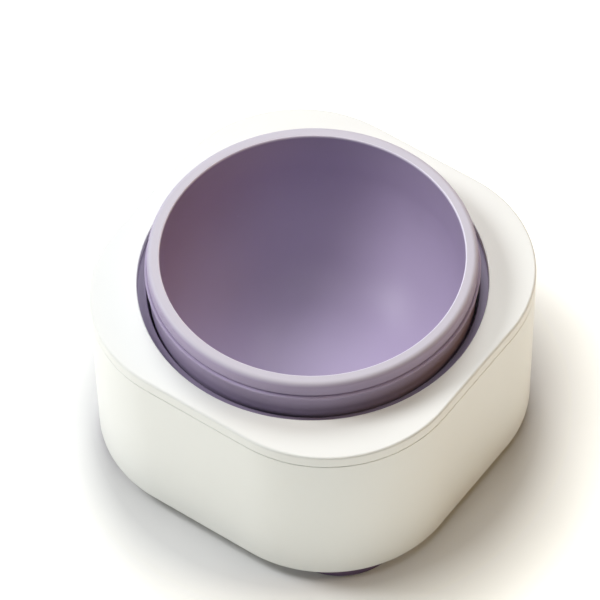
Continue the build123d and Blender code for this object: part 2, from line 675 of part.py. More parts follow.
def mains_leads():
    """Two leads from the pins' tails down into the terminal block."""
    tail = INLET_FACE_Y - INLET_DEPTH - PIN_TAIL
    low = BOARD_TOP + LEAD_RISE
    leads = []
    for x in (-PIN_SPACING / 2, PIN_SPACING / 2):
        points = [(x, tail, INLET_Z), (x, LEAD_LEVEL_Y, INLET_Z), (x, LEAD_FALL_Y, low),
                  (x, TERMINAL_Y + TERMINAL_HALF_Y, low)]
        leads.append(tube(points, LEAD_BEND, LEAD_RADIUS))
    return Compound(children=leads)


def heater_leads():
    """Two leads from the heating disc's tabs down to the supply board."""
    tab_z = HEATER_UNDER_Z + TAB_LIFT
    return Compound(children=[rod(HEATER_LEAD, BOARD_TOP, tab_z, x, HEATER_LEAD_Y) for x in (-TAB_X, TAB_X)])


def control_cable():
    """The flat cable from the control board's foot to the supply board's edge."""
    start_x = CONTROL_BOARD_X + CONTROL_BOARD
    high = BOARD_TOP + CABLE_HIGH
    low = BOARD_TOP + CABLE_LOW
    outline = Polyline((start_x, high), (CABLE_BEND_X, high), (CABLE_FALL_X, low), (CABLE_TURN_X, low),
                       (CABLE_TURN_X, BOARD_TOP), (CABLE_END_X, BOARD_TOP),
                       (CABLE_END_X, low + CABLE_THICKNESS), (CABLE_FALL_X, low + CABLE_THICKNESS),
                       (CABLE_BEND_X, high + CABLE_THICKNESS), (start_x, high + CABLE_THICKNESS),
                       (start_x, high))
    face = Plane.XZ * make_face(outline)
    return Pos(0, CABLE_Y + CABLE_HALF_WIDTH, 0) * extrude(face, amount=2 * CABLE_HALF_WIDTH)


def base_screws():
    """The four screws under the feet, through the base plate into the legs."""
    one = screw(BASE_SCREW, head=2.8, head_height=1.4, length=10.0)
    return Compound(children=[Pos(x, y, FOOT_HEIGHT + WELL_DEPTH) * one for x, y in legs()])


def cover_screws():
    """The four screws from the pot frame's ears up into the cover."""
    one = screw(COVER_SCREW, head=2.0, head_height=1.6, length=6.8)
    return Compound(children=[Pos(x, y, FRAME_Z) * one for x, y in ears()])


def board_screws():
    """The four screws that hold the supply board on its standoffs."""
    one = Rot(180, 0, 0) * screw(BOARD_SCREW, head=2.2, head_height=1.5, length=4.6)
    return Compound(children=[Pos(x, y, BOARD_TOP) * one for x, y in corners(STANDOFF_X, STANDOFF_Y)])


def panel_screws():
    """The four screws that hold the control board on the panel's posts."""
    one = Rot(0, -90, 0) * screw(PANEL_SCREW, head=1.8, head_height=1.2, length=5.0)
    back = CONTROL_BOARD_X + CONTROL_BOARD
    return Compound(children=[Pos(back, y, PANEL_Z + z) * one for y, z in corners(POST_Y, POST_Z)])


FEET = {
    "front_left_foot": (-FOOT_OFFSET, -FOOT_OFFSET),
    "front_right_foot": (FOOT_OFFSET, -FOOT_OFFSET),
    "rear_left_foot": (-FOOT_OFFSET, FOOT_OFFSET),
    "rear_right_foot": (FOOT_OFFSET, FOOT_OFFSET),
}

NODES = {
    "top_cover": top_cover(),
    "outer_casing": outer_casing(),
    "base_plate": base_plate(),
    "bowl": bowl(),
    "collar_ring": collar_ring(),
    "collar_gasket": collar_gasket(),
    "heating_pot": heating_pot(),
    "band_heater": arc_band(FILM_ARC, FILM_ARC + HEATER_FILM, FILM_LOW, FILM_HIGH),
    "insulation_sleeve": arc_band(SLEEVE_ARC, SLEEVE_ARC + INSULATION, INSULATION_LOW,
                                  FRAME_Z - INSULATION_GAP),
    "pot_frame": pot_frame(),
    "bottom_heater": bottom_heater(),
    "temperature_sensor": temperature_sensor(),
    "thermal_fuse": thermal_fuse(),
    "sensor_bracket": sensor_bracket(),
    "heater_nut": heater_nut(),
    "power_board": power_board(),
    "transformer": transformer(),
    "capacitor": capacitor(),
    "relay": relay(),
    "terminal_block": terminal_block(),
    "control_panel": control_panel(),
    "power_button": button(-BUTTON_Y),
    "timer_button": button(BUTTON_Y),
    "indicator_lens": indicator_lens(),
    "control_board": control_board(),
    "tact_switches": tact_switches(),
    "indicator_lamps": indicator_lamps(),
    "inlet_socket": inlet_socket(),
    "inlet_pins": inlet_pins(),
    "mains_leads": mains_leads(),
    "heater_leads": heater_leads(),
    "control_cable": control_cable(),
    "base_screws": base_screws(),
    "cover_screws": cover_screws(),
    "board_screws": board_screws(),
    "panel_screws": panel_screws(),
}
for name, place in FEET.items():
    NODES[name] = foot(*place)

os.makedirs("parts", exist_ok=True)
for name, shape in NODES.items():
    export_step(shape, f"parts/{name}.step")
print(len(NODES), "nodes")
print("rim top", round(RIM_TOP, 3), "cover top", round(COVER_TOP, 3), "pad", round(PAD_Z, 3))
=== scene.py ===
import math

import bmesh
import bpy
import numpy as np
from bpy.props import FloatProperty, FloatVectorProperty, IntProperty, PointerProperty
from bpy.types import Operator, Panel, PropertyGroup
from mathutils import Matrix, Vector


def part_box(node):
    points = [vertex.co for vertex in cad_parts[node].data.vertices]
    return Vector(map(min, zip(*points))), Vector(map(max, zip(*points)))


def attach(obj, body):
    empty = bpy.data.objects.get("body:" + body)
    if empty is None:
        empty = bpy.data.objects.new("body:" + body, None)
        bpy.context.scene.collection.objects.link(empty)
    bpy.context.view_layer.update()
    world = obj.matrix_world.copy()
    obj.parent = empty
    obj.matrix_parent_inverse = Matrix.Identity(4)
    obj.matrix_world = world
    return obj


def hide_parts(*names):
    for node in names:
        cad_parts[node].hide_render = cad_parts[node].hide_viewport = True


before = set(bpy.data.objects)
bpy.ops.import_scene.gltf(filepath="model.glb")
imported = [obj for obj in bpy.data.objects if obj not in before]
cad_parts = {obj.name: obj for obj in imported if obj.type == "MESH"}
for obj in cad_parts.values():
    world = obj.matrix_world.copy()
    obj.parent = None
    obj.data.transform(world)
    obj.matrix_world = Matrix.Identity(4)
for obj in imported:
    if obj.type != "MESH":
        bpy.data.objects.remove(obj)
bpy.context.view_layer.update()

bl_info = {
    "name": "Yogurt Maker",
    "version": (1, 0, 0),
    "blender": (4, 5, 0),
    "location": "View3D > Sidebar > Yogurt Maker",
    "description": "Builds a small yogurt maker round its packed frame, piece by piece",
    "category": "Add Mesh",
}

MM = 0.001

COVER_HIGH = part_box("top_cover")[1]
CASING_LOW, CASING_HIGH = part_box("outer_casing")
BOWL_LOW, BOWL_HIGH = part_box("bowl")
COLLAR_LOW, COLLAR_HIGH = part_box("collar_ring")
GASKET_LOW, GASKET_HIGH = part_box("collar_gasket")
POT_LOW, POT_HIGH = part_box("heating_pot")
FOOT_LOW, FOOT_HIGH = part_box("front_right_foot")
PANEL_LOW, PANEL_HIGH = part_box("control_panel")
BUTTON_LOW, BUTTON_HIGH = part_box("power_button")
FLANGE_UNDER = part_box("pot_frame")[1].z

ROUND_STEPS = 10  # steps in each quarter turn of a small rounding
WELD = 0.003 * MM  # points closer than this are joined after a cut
CREASE = math.radians(32)  # edges sharper than this stay crisp after a cut
BOWL_LEAN = 0.7 * MM  # how far the inner wall leans in, from the rim to the round bottom
COLLAR_INNER = 54.2 * MM  # radius inside the ledge
GASKET_INNER = 54.6 * MM
BUTTON_RADIUS = 5.0 * MM
BUTTON_FLANGE_X = -60.1 * MM  # outer side of each button's flange, behind the panel
BUTTON_FLANGE_RADIUS = 6.1 * MM
PANEL_BACK = 3.7 * MM  # from the panel's face to its back
PANEL_FIT = 0.08 * MM  # open line round the panel's face
LENS_HALF = (5.0 * MM, 1.5 * MM)
LENS_FIT = 0.05 * MM
INLET_WINDOW = (11.08 * MM, 6.58 * MM)
CUT_DEPTH = 6.0 * MM  # how far most cutters reach in, past every wall
SLOT_DEPTH = 8.0 * MM  # the same for the light window's cutter
STUD_RADIUS = 2.0 * MM
PEG_RADIUS = 5.0 * MM
BARB_RADIUS = 6.2 * MM
ARC_STEPS = 56  # points on each upright corner of the shell
SIDE_STEPS = 28  # points on each flat side of the shell
LIGHT_DISTANCE = 1.6
FLOOR_RADIUS = 6.0
GLOW_REACH = 1.2  # radius that the floor's glow is worked out to
# (radius, level) of the floor's glow, painted light that lifts the floor where the object's shadows fall:
# dark under the object, bright round it, dim beyond and pale far away
FLOOR_GLOW = (0.075, 0.03), (0.1146, 0.95), (0.162, 0.95), (0.2436, 0.20), (0.60, 0.20), (1.02, 0.85)


# ---------------- sizes and colours

def length(name, default, description):
    """A size in metres, shown in the scene's own unit."""
    return FloatProperty(name=name, default=default, description=description, unit="LENGTH", precision=5)


def watts(name, default, description):
    """The power of a light."""
    return FloatProperty(name=name, default=default, min=0, subtype="POWER", description=description)


def colour(name, default, description):
    """A linear colour."""
    return FloatVectorProperty(name=name, default=default, description=description, subtype="COLOR",
                               size=3, min=0, max=1)


class ShellSizes(PropertyGroup):
    """The white casing and its cover."""
    half: length("Half width", COVER_HIGH.x, "Half of the width at the cover")
    corner: length("Corner radius", 45.4 * MM, "Radius of the upright corners at the cover")
    taper: length("Taper", 0.9 * MM, "How far each wall leans in at the bottom")
    seam: length("Seam height", 63.7 * MM, "Height of the line between the cover and the casing")
    seam_gap: length("Seam gap", 0.14 * MM, "Open slit between the cover and the casing")
    wall: length("Wall", 2.4 * MM, "Thickness of the wall")
    skin: length("Cover skin", 2.6 * MM, "Thickness of the cover's top")
    opening: length("Opening radius", 57.2 * MM, "Radius of the round opening")
    edge: length("Edge rounding", 0.8 * MM, "Rounding of the outer edges")
    opening_edge: length("Opening rounding", 0.4 * MM, "Rounding of the opening's edge")


class BowlSizes(PropertyGroup):
    """The lift-out bowl."""
    rim_inner: length("Rim inner radius", 49.5 * MM, "Inner radius of the flat rim")
    rim_outer: length("Rim outer radius", 53.7 * MM, "Outer radius of the flat rim")
    bead_radius: length("Bead radius", BOWL_HIGH.x, "Outermost radius of the bead")
    bead_drop: length("Bead drop", 6.35 * MM, "From the rim's top down to the bead's middle")
    bead_tall: length("Bead height", 1.3 * MM, "Height of the bead")
    wall: length("Wall", 4.2 * MM, "Thickness of the wall")
    arc: length("Bottom arc", 36.0 * MM, "Radius of the round bottom, inside")
    turn_drop: length("Turn drop", 15.6 * MM, "From the rim's top down to the start of the round bottom")
    steps: IntProperty(name="Steps round", default=320, min=64, description="Facets round the bowl")


class PanelSizes(PropertyGroup):
    """The control panel and its two buttons."""
    corner: length("Corner radius", 5.0 * MM, "Radius of the panel's corners")
    lip: length("Lip", 1.5 * MM, "How far the flange reaches behind the wall")
    step: length("Step depth", 2.5 * MM, "From the panel's face to its flange")
    button_gap: length("Button gap", 0.3 * MM, "Open ring round each button")
    dish: length("Button dish", 0.22 * MM, "Depth of the hollow in each button")


class Finishes(PropertyGroup):
    """The colours of the visible materials."""
    shell: colour("Shell", (0.855, 0.864, 0.832), "White moulded plastic")
    lilac: colour("Lilac", (0.43, 0.362, 0.52), "Moulded plastic of the bowl, collar and panel")
    # painted sheen: the paler lilac painted on the rim's top for the light it reflects, made lighter still
    # for the painted highlight
    worn: colour("Lilac sheen", (0.59, 0.56, 0.64), "The bowl's plastic where it is handled")
    rubber: colour("Rubber", (0.13, 0.085, 0.155), "Rubber of the feet")
    metal: colour("Pot metal", (0.78, 0.78, 0.79), "Spun aluminium of the pot")


class StageSettings(PropertyGroup):
    """The camera, the floor and the lights."""
    azimuth: FloatProperty(name="Azimuth", default=math.radians(36.26), subtype="ANGLE",
                           description="Camera direction round the object, from the front")
    elevation: FloatProperty(name="Elevation", default=math.radians(51.81), subtype="ANGLE",
                             description="Camera height above the horizon")
    roll: FloatProperty(name="Roll", default=math.radians(-1.13), subtype="ANGLE",
                        description="Turn of the camera about its own axis")
    distance: length("Distance", 1.780, "From the camera to its aim")
    lens: FloatProperty(name="Lens", default=329.8, description="Focal length in millimetres")
    aim_right: length("Aim right", -4.31 * MM, "The aim's offset to the camera's right")
    aim_back: length("Aim back", -8.55 * MM, "The aim's offset away from the camera")
    key: watts("Key light", 14.6, "Power of the light on the left")
    front: watts("Front light", 3.3, "Power of the low light in front")
    top: watts("Top light", 6.8, "Power of the light overhead")
    back: watts("Back light", 11.0, "Power of the light behind")
    warm: watts("Warm light", 4.3, "Power of the low light on the right")
    glow: FloatProperty(name="Floor glow", default=0.94, min=0, description="Strength of the floor's glow")
    sky: FloatProperty(name="Sky", default=0.01, min=0, description="Strength of the even light")


# ---------------- surfaces

def rounded(corners):
    """An open line through corners (across, up, rounding): every corner becomes an arc that is tangent
    to both of its sides, with one more point a little way along each side, so that flat faces stay
    flat under smooth shading.  The arc's middle lies on the corner's bisector."""
    line = [np.array(corners[0][:2])]
    for before, here, after in zip(corners, corners[1:], corners[2:]):
        point, radius = np.array(here[:2]), here[2]
        back = np.array(before[:2]) - point
        ahead = np.array(after[:2]) - point
        back, ahead = back / np.linalg.norm(back), ahead / np.linalg.norm(ahead)
        half = math.acos(np.clip(back @ ahead, -1, 1)) / 2
        if radius <= 0 or half > math.pi / 2 - 0.01:
            line.append(point)
            continue
        tangent = radius / math.tan(half)
        bisector = (back + ahead) / np.linalg.norm(back + ahead)
        middle = point + bisector * radius / math.sin(half)
        first, last = point + back * tangent - middle, point + ahead * tangent - middle
        sweep = math.pi - 2 * half
        steps = max(3, int(ROUND_STEPS * sweep / (math.pi / 2) * max(1, (radius / MM) ** 0.5 / 2)))
        t = np.linspace(0, 1, steps + 1)[:, None]
        arc = (np.sin((1 - t) * sweep) * first + np.sin(t * sweep) * last) / math.sin(sweep)
        support = min(0.25 * radius, 0.15 * MM)
        line += [point + back * (tangent + support), *(arc + middle), point + ahead * (tangent + support)]
    line.append(np.array(corners[-1][:2]))
    return np.array(line)


def loop(corners):
    """The same for a closed line: it starts and ends in the middle of its last side."""
    middle = tuple((np.array(corners[0][:2]) + np.array(corners[-1][:2])) / 2)
    return rounded([(*middle, 0), *corners, (*middle, 0)])[:-1]


def arc_path(radius, start, end, steps):
    """Points on a circle about the origin, from one angle to another."""
    angle = np.linspace(start, end, steps)
    return radius * np.stack([np.cos(angle), np.sin(angle)], 1)


def outline(half_x, half_y, corner, arc_steps, side_steps):
    """Points and outward normals round a rounded rectangle: quarter circles about four corner
    middles, joined by straight sides, anticlockwise from the right-hand side."""
    turn = np.linspace(0, math.pi / 2, arc_steps + 1)
    points, normals = [], []
    for quarter, (sx, sy) in enumerate(((1, 1), (-1, 1), (-1, -1), (1, -1))):
        angle = turn + quarter * math.pi / 2
        normal = np.stack([np.cos(angle), np.sin(angle)], 1)
        middle = np.array([sx * (half_x - corner), sy * (half_y - corner)])
        arc = middle + corner * normal
        straight = 2 * ((half_x, half_y)[quarter % 2] - corner)
        side = np.linspace(0, straight, side_steps + 1)[1:-1, None]
        along = np.array([-normal[-1, 1], normal[-1, 0]])
        if straight < 1e-6:
            arc, normal, side = arc[:-1], normal[:-1], side[:0]
        points += [arc, arc[-1] + side * along]
        normals += [normal, np.repeat(normal[-1:], len(side), 0)]
    return np.concatenate(points), np.concatenate(normals)


def carried(edge, profile):
    """A profile of (offset, height) rows carried round an outline: each point of the outline moves
    along its own normal by the offset, and rises to the height."""
    points, normals = edge
    flat = points[None] + normals[None] * profile[:, 0, None, None]
    height = np.broadcast_to(profile[:, 1, None, None], flat.shape[:2] + (1,))
    return np.concatenate([flat, height], 2)


def turned(profile, steps):
    """A profile of (radius, height) rows turned about the upright axis: x and y are the radius times
    the cosine and sine of the turn."""
    turn = np.linspace(0, 2 * math.pi, steps, endpoint=False)
    radius = profile[:, 0, None]
    height = np.broadcast_to(profile[:, 1, None], (len(profile), steps))
    return np.stack([radius * np.cos(turn), radius * np.sin(turn), height], 2)


def closed_over(grid, rings=3):
    """The same grid with its last row drawn in to its own middle, ring by ring, as a lid."""
    middle = grid[-1].mean(0)
    share = np.linspace(1, 0, rings + 1)[1:, None, None]
    return np.concatenate([grid, middle + (grid[-1] - middle) * share])


def closed_both(grid, rings=3):
    """The same grid with its first row and its last row both drawn in."""
    return closed_over(closed_over(grid, rings)[::-1], rings)[::-1]


def grid_faces(rows, columns, ring):
    """Four-sided faces between neighbouring rows and columns.  Columns always join up into a ring;
    rows do too when ring is set."""
    row = np.arange(rows if ring else rows - 1)[:, None]
    column = np.arange(columns)[None]
    after_row, after_column = (row + 1) % rows, (column + 1) % columns
    corner = [row * columns + column, row * columns + after_column,
              after_row * columns + after_column, after_row * columns + column]
    return np.stack([np.broadcast_to(c, (row.size, columns)) for c in corner], 2).reshape(-1, 4)


def grid_mesh(grid, ring=False):
    """A mesh from a grid of points.  Points that fall together are welded, four-sided faces that lose
    an edge there become triangles, and all faces are turned over if the volume that they enclose, the
    sum of the signed pyramids down to the origin, comes out negative."""
    points, faces = grid.reshape(-1, 3), grid_faces(*grid.shape[:2], ring)
    _, first, same = np.unique(np.round(points, 8), axis=0, return_index=True, return_inverse=True)
    points, faces = points[first], same.reshape(-1)[faces]
    a, b, c, d = (points[faces[:, n]] for n in range(4))
    if np.sum(np.cross(a, b) * c + np.cross(a, c) * d) < 0:
        faces = faces[:, ::-1]
    kept = faces != np.roll(faces, 1, axis=1)
    sides = kept.sum(1)
    quads, triangles = faces[sides == 4], faces[sides == 3][kept[sides == 3]].reshape(-1, 3)
    mesh = bpy.data.meshes.new("surface")
    mesh.from_pydata(points.tolist(), [], quads.tolist() + triangles.tolist())
    mesh.shade_smooth()
    return mesh


PANEL_SIDE = Matrix(((0, 0, -1), (-1, 0, 0), (0, 1, 0)))
INLET_SIDE = Matrix(((-1, 0, 0), (0, 0, 1), (0, 1, 0)))


def middle_of(node):
    """The middle of a CAD node's box."""
    low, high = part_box(node)
    return (low + high) / 2


def set_on(mesh, side, place):
    """Turns a mesh from its own flat frame onto a side of the casing and moves it into place."""
    mesh.transform(Matrix.Translation(place) @ side.to_4x4())
    return mesh


def moved(mesh, place):
    """Moves a mesh into place."""
    mesh.transform(Matrix.Translation(place))
    return mesh


def added(name, data):
    """A new object in the scene."""
    made = bpy.data.objects.new(name, data)
    bpy.context.scene.collection.objects.link(made)
    return made


def coat(mesh, material):
    """Gives a mesh its one material."""
    mesh.materials.clear()
    mesh.materials.append(material)


def cut(mesh, *cutters):
    """The mesh less its cutters.  Points that the cuts leave together are joined, and the new edges
    stay crisp."""
    body = added("uncut", mesh)
    tools = [added("cutter", cutter) for cutter in cutters]
    for tool in tools:
        step = body.modifiers.new("cut", "BOOLEAN")
        step.operation, step.solver, step.object = "DIFFERENCE", "EXACT", tool
    ready = body.evaluated_get(bpy.context.evaluated_depsgraph_get())
    result = bpy.data.meshes.new_from_object(ready)
    for made in (body, *tools):
        bpy.data.objects.remove(made)
    joined = bmesh.new()
    joined.from_mesh(result)
    bmesh.ops.remove_doubles(joined, verts=joined.verts, dist=WELD)
    joined.to_mesh(result)
    joined.free()
    result.shade_smooth()
    result.set_sharp_from_angle(angle=CREASE)
    return result


def piece(name, mesh, body, material, slot, *nodes):
    """Shows a mesh as a piece that rides on a body and stands for its CAD nodes."""
    made = added(name, mesh)
    mesh.name = name
    coat(mesh, material)
    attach(made, body)
    if nodes:
        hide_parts(*nodes)
    return made


# ---------------- shader expressions

def math_method(operation, swapped=False):
    """A method that adds one Math node, with its two values the other way round when swapped."""
    def method(self, other):
        values = (other, self) if swapped else (self, other)
        return self.recipe.math(operation, *values)
    return method


class Term:
    """One socket of a material, so that shader maths reads as an expression."""

    def __init__(self, recipe, socket):
        self.recipe, self.socket = recipe, socket

    __add__ = __radd__ = math_method("ADD")
    __sub__, __rsub__ = math_method("SUBTRACT"), math_method("SUBTRACT", swapped=True)
    __mul__ = __rmul__ = math_method("MULTIPLY")
    __truediv__, __rtruediv__ = math_method("DIVIDE"), math_method("DIVIDE", swapped=True)
    __gt__ = math_method("GREATER_THAN")
    __lt__ = math_method("LESS_THAN")


class Recipe:
    """A material while it is being written.  Constants go straight onto the shader's sockets."""

    def __init__(self, name, **constants):
        self.material = bpy.data.materials.new(name)
        self.material.use_nodes = True
        self.tree = self.material.node_tree
        self.tree.nodes.clear()
        self.shader = self.tree.nodes.new("ShaderNodeBsdfPrincipled")
        result = self.tree.nodes.new("ShaderNodeOutputMaterial")
        self.tree.links.new(self.shader.outputs[0], result.inputs["Surface"])
        for socket, value in constants.items():
            self.shader.inputs[socket.replace("_", " ")].default_value = value

    def plug(self, value, socket):
        """Joins a term to a socket, or sets the socket to a value."""
        if isinstance(value, Term):
            self.tree.links.new(value.socket, socket)
        elif hasattr(socket.default_value, "__len__") and not hasattr(value, "__len__"):
            socket.default_value = [value] * len(socket.default_value)
        elif hasattr(value, "__len__") and len(socket.default_value) == len(value) + 1:
            socket.default_value = [*value, 1.0]
        else:
            socket.default_value = value

    def node(self, kind, settings=None, inputs=None, output=0):
        """Any other node: its settings first, then the values or links of its sockets."""
        made = self.tree.nodes.new(kind)
        for name, value in (settings or {}).items():
            if name == "stops":
                self.stops(made.color_ramp, value)
            else:
                setattr(made, name, value)
        for name, value in (inputs or {}).items():
            self.plug(value, made.inputs[name])
        return Term(self, made.outputs[output])

    def stops(self, ramp, stops):
        """Sets a ramp's stops to a list of (place, grey level)."""
        for _ in range(len(stops) - 2):
            ramp.elements.new(0.5)
        for element, (place, level) in zip(ramp.elements, stops):
            element.position, element.color = place, (level, level, level, 1)

    def math(self, operation, *values):
        """One Math node."""
        return self.node("ShaderNodeMath", {"operation": operation}, dict(enumerate(values)))

    def place(self, scale=1.0):
        """Where a point lies on the piece, in metres times the scale."""
        where = self.node("ShaderNodeTexCoord", output="Object")
        return self.node("ShaderNodeMapping", {}, {"Vector": where, "Scale": scale})

    def axes(self, where=None):
        """The three numbers of a place."""
        split = self.tree.nodes.new("ShaderNodeSeparateXYZ")
        self.plug(where or self.place(), split.inputs[0])
        return [Term(self, socket) for socket in split.outputs]

    def reach(self, x, y):
        """The distance of a place from the upright axis."""
        return self.math("SQRT", x * x + y * y)

    def waves(self, along, pitch):
        """A sine wave that repeats every pitch metres."""
        return self.math("SINE", along * (2 * math.pi / pitch))

    def noise(self, size, detail=2.0, rough=0.5, where=None):
        """Soft noise from 0 to 1 whose blotches are about size metres across."""
        inputs = {"Vector": where or self.place(), "Scale": 1 / size, "Detail": detail, "Roughness": rough}
        return self.node("ShaderNodeTexNoise", {}, inputs)

    def ramp(self, value, *stops):
        """A value run through grey stops."""
        return self.node("ShaderNodeValToRGB", {"stops": stops}, {"Fac": value})

    def specks(self, spacing, size, share):
        """1 on small round specks about spacing metres apart, 0 elsewhere, on a share of the cells."""
        settings = {"feature": "F1"}
        inputs = {"Vector": self.place(), "Scale": 1 / spacing}
        near = self.node("ShaderNodeTexVoronoi", settings, inputs, output="Distance")
        cell = self.node("ShaderNodeTexVoronoi", settings, inputs, output="Color")
        chosen = self.axes(cell)[0] < share
        return (near < size / spacing) * chosen

    def mix(self, share, low, high):
        """A colour between two colours."""
        return self.node("ShaderNodeMix", {"data_type": "RGBA"}, {0: share, 6: low, 7: high}, output=2)

    def bump(self, height, distance):
        """A normal tilted by a height map, whose full range is distance metres."""
        return self.node("ShaderNodeBump", {}, {"Height": height, "Distance": distance})

    def done(self, **links):
        """Joins the finished terms to the shader and gives the material."""
        for socket, value in links.items():
            self.plug(value, self.shader.inputs[socket.replace("_", " ")])
        return self.material


def tone(base, factor):
    """A colour made lighter or darker."""
    return tuple(min(1.0, channel * factor) for channel in base)


def moulded(name, base, roughness, grain, depth, mottle, dust=0.0, shine=0.42, worn=None):
    """Moulded plastic: a fine spark-eroded grain, a faint cloudiness in the colour, gloss that
    varies a little, and, where dust is set, a few pale specks.  The last argument, where set,
    gives the shares at a place of a painted sheen and of a painted highlight, which are paler."""
    recipe = Recipe(name, Specular_IOR_Level=shine)
    clouds = recipe.noise(18 * MM, 3)
    shade = recipe.mix(clouds, tone(base, 1 - mottle), tone(base, 1 + mottle))
    if dust:
        shade = recipe.mix(recipe.specks(5.5 * MM, 0.16 * MM, dust) * 0.35, shade, tone(base, 1.9))
    # painted light: the rim's top is painted paler as a sheen, and a thin line paler still as a highlight
    if worn:
        sheen_share, highlight_line = worn(recipe)
        pale = tuple(bpy.context.scene.yogurt_finishes.worn)
        shade = recipe.mix(highlight_line, recipe.mix(sheen_share, shade, pale), tone(pale, 1.5))
    fine = recipe.noise(grain, 2, 0.6)
    wear = recipe.noise(7 * MM, 4, 0.6)
    gloss = roughness - 0.04 + fine * 0.05 + wear * 0.05
    return recipe.done(Base_Color=shade, Roughness=gloss, Normal=recipe.bump(fine, depth))


def once(name, make, *values, **named):
    """A material that is made on its first use; its name keeps it apart from the frame's own."""
    finish = name + "_finish"
    return bpy.data.materials.get(finish) or make(finish, *values, **named)


def shell_finish():
    """White plastic of the cover, casing and base."""
    base = tuple(bpy.context.scene.yogurt_finishes.shell)
    return once("shell_white", moulded, base, 0.40, 0.30 * MM, 0.004 * MM, 0.012)


def lilac_finish(name="lilac_plastic", shade=1.0, worn=None):
    """Lilac plastic of the panel, or a darker copy of it as painted shade, with a painted sheen or not."""
    base = tone(tuple(bpy.context.scene.yogurt_finishes.lilac), shade)
    return once(name, moulded, base, 0.42, 0.28 * MM, 0.005 * MM, 0.03, dust=0.4, shine=0.24, worn=worn)


def rim_painted_sheen(recipe):
    """Where the bowl is painted paler for the light on its rim.  Two shares: 1 on the rim's flat top,
    fading to 0 over its rounded edges, a painted sheen; and 1 on a thin line along the rim's inner
    edge, by the distance from the axis, a painted highlight."""
    x, y, height = recipe.axes()
    edge = 1.6 * MM
    sheen_share = recipe.ramp((height - (BOWL_HIGH.z - edge)) / edge, (0.25, 0.0), (0.9, 1.0))
    # painted highlight: a thin brighter line along the rim's inner edge, where a glint of light runs
    inner = bpy.context.scene.yogurt_bowl.rim_inner
    across = (recipe.reach(x, y) - inner) / MM + 0.5
    line = recipe.ramp(across, (0.30, 0.0), (0.48, 1.0), (0.80, 1.0), (0.98, 0.0))
    return sheen_share, line * sheen_share


def rubber(name):
    """Rubber of the feet: deeper grain, hardly any gloss, a little dust in the low spots."""
    base = tuple(bpy.context.scene.yogurt_finishes.rubber)
    recipe = Recipe(name, Specular_IOR_Level=0.3)
    grain = recipe.noise(0.22 * MM, 4, 0.65)
    film = recipe.ramp(recipe.noise(6 * MM, 5, 0.7), (0.45, 0.0), (0.75, 1.0))
    shade = recipe.mix(film * 0.25, base, tone(base, 1.5))
    return recipe.done(Base_Color=shade, Roughness=0.68 + film * 0.12,
                       Normal=recipe.bump(grain, 0.025 * MM))


def spun_metal(name):
    """Spun metal: fine circular turning lines about the upright axis, and faint stains."""
    base = tuple(bpy.context.scene.yogurt_finishes.metal)
    recipe = Recipe(name, Metallic=1.0)
    x, y, z = recipe.axes()
    line = recipe.node("ShaderNodeCombineXYZ", {}, {0: recipe.reach(x, y), 1: z})
    rings = recipe.noise(0.12 * MM, 3, 0.7, line)
    stain = recipe.noise(14 * MM, 4, 0.6)
    shade = recipe.mix(stain, tone(base, 0.9), tone(base, 1.05))
    return recipe.done(Base_Color=shade, Roughness=0.24 + rings * 0.12 + stain * 0.06,
                       Normal=recipe.bump(rings, 0.005 * MM))


def drawn_metal(name, base, roughness):
    """Rolled or turned metal: drawn lines along the piece and small scratches."""
    recipe = Recipe(name, Metallic=1.0)
    drawn = recipe.noise(0.3 * MM, 3, 0.6, recipe.place((1.0, 0.06, 1.0)))
    shade = recipe.mix(drawn, tone(base, 0.82), tone(base, 1.08))
    return recipe.done(Base_Color=shade, Roughness=roughness + drawn * 0.15,
                       Normal=recipe.bump(drawn, 0.004 * MM))


def felt(name):
    """Needled felt and foam: crossed fibres over open pores."""
    recipe = Recipe(name, Specular_IOR_Level=0.1, Sheen_Weight=0.3)
    fibre = recipe.noise(0.35 * MM, 5, 0.7, recipe.place((1, 1, 0.25)))
    pores = recipe.specks(1.1 * MM, 0.3 * MM, 0.7)
    shade = recipe.mix(fibre, (0.50, 0.50, 0.47), (0.78, 0.78, 0.75))
    return recipe.done(Base_Color=shade, Roughness=0.88 + fibre * 0.1,
                       Normal=recipe.bump(fibre - pores * 0.5, 0.12 * MM))


def heater_film(name):
    """Amber heating film with a copper track that runs round it in level turns."""
    recipe = Recipe(name, Specular_IOR_Level=0.5, Coat_Roughness=0.15, Coat_Weight=0.4)
    _, _, z = recipe.axes()
    track = recipe.waves(z, 2.4 * MM) > 0.1
    shade = recipe.mix(track, (0.42, 0.16, 0.03), (0.62, 0.28, 0.14))
    return recipe.done(Base_Color=shade, Roughness=0.35 - track * 0.08, Metallic=track * 0.8,
                       Normal=recipe.bump(track, 0.04 * MM))


def board(name):
    """Printed board: green mask over a grid of tracks, with tinned dots."""
    recipe = Recipe(name, Coat_Weight=0.5, Coat_Roughness=0.1)
    x, y, z = recipe.axes()
    lanes = recipe.waves(x + y, 2.2 * MM) > 0.55
    rows = recipe.waves(x - y + z, 4.0 * MM) > 0.7
    tracks = recipe.math("MAXIMUM", lanes, rows)
    dots = recipe.specks(2.6 * MM, 0.45 * MM, 0.45)
    mask = recipe.mix(tracks, (0.008, 0.075, 0.028), (0.015, 0.13, 0.05))
    shade = recipe.mix(dots, mask, (0.65, 0.64, 0.60))
    return recipe.done(Base_Color=shade, Roughness=0.32 - dots * 0.05, Metallic=dots,
                       Normal=recipe.bump(recipe.math("MAXIMUM", tracks, dots), 0.03 * MM))


def plain_plastic(name, base, roughness=0.4):
    """Small moulded part in one colour."""
    return once(name, moulded, base, roughness, 0.25 * MM, 0.005 * MM, 0.05)


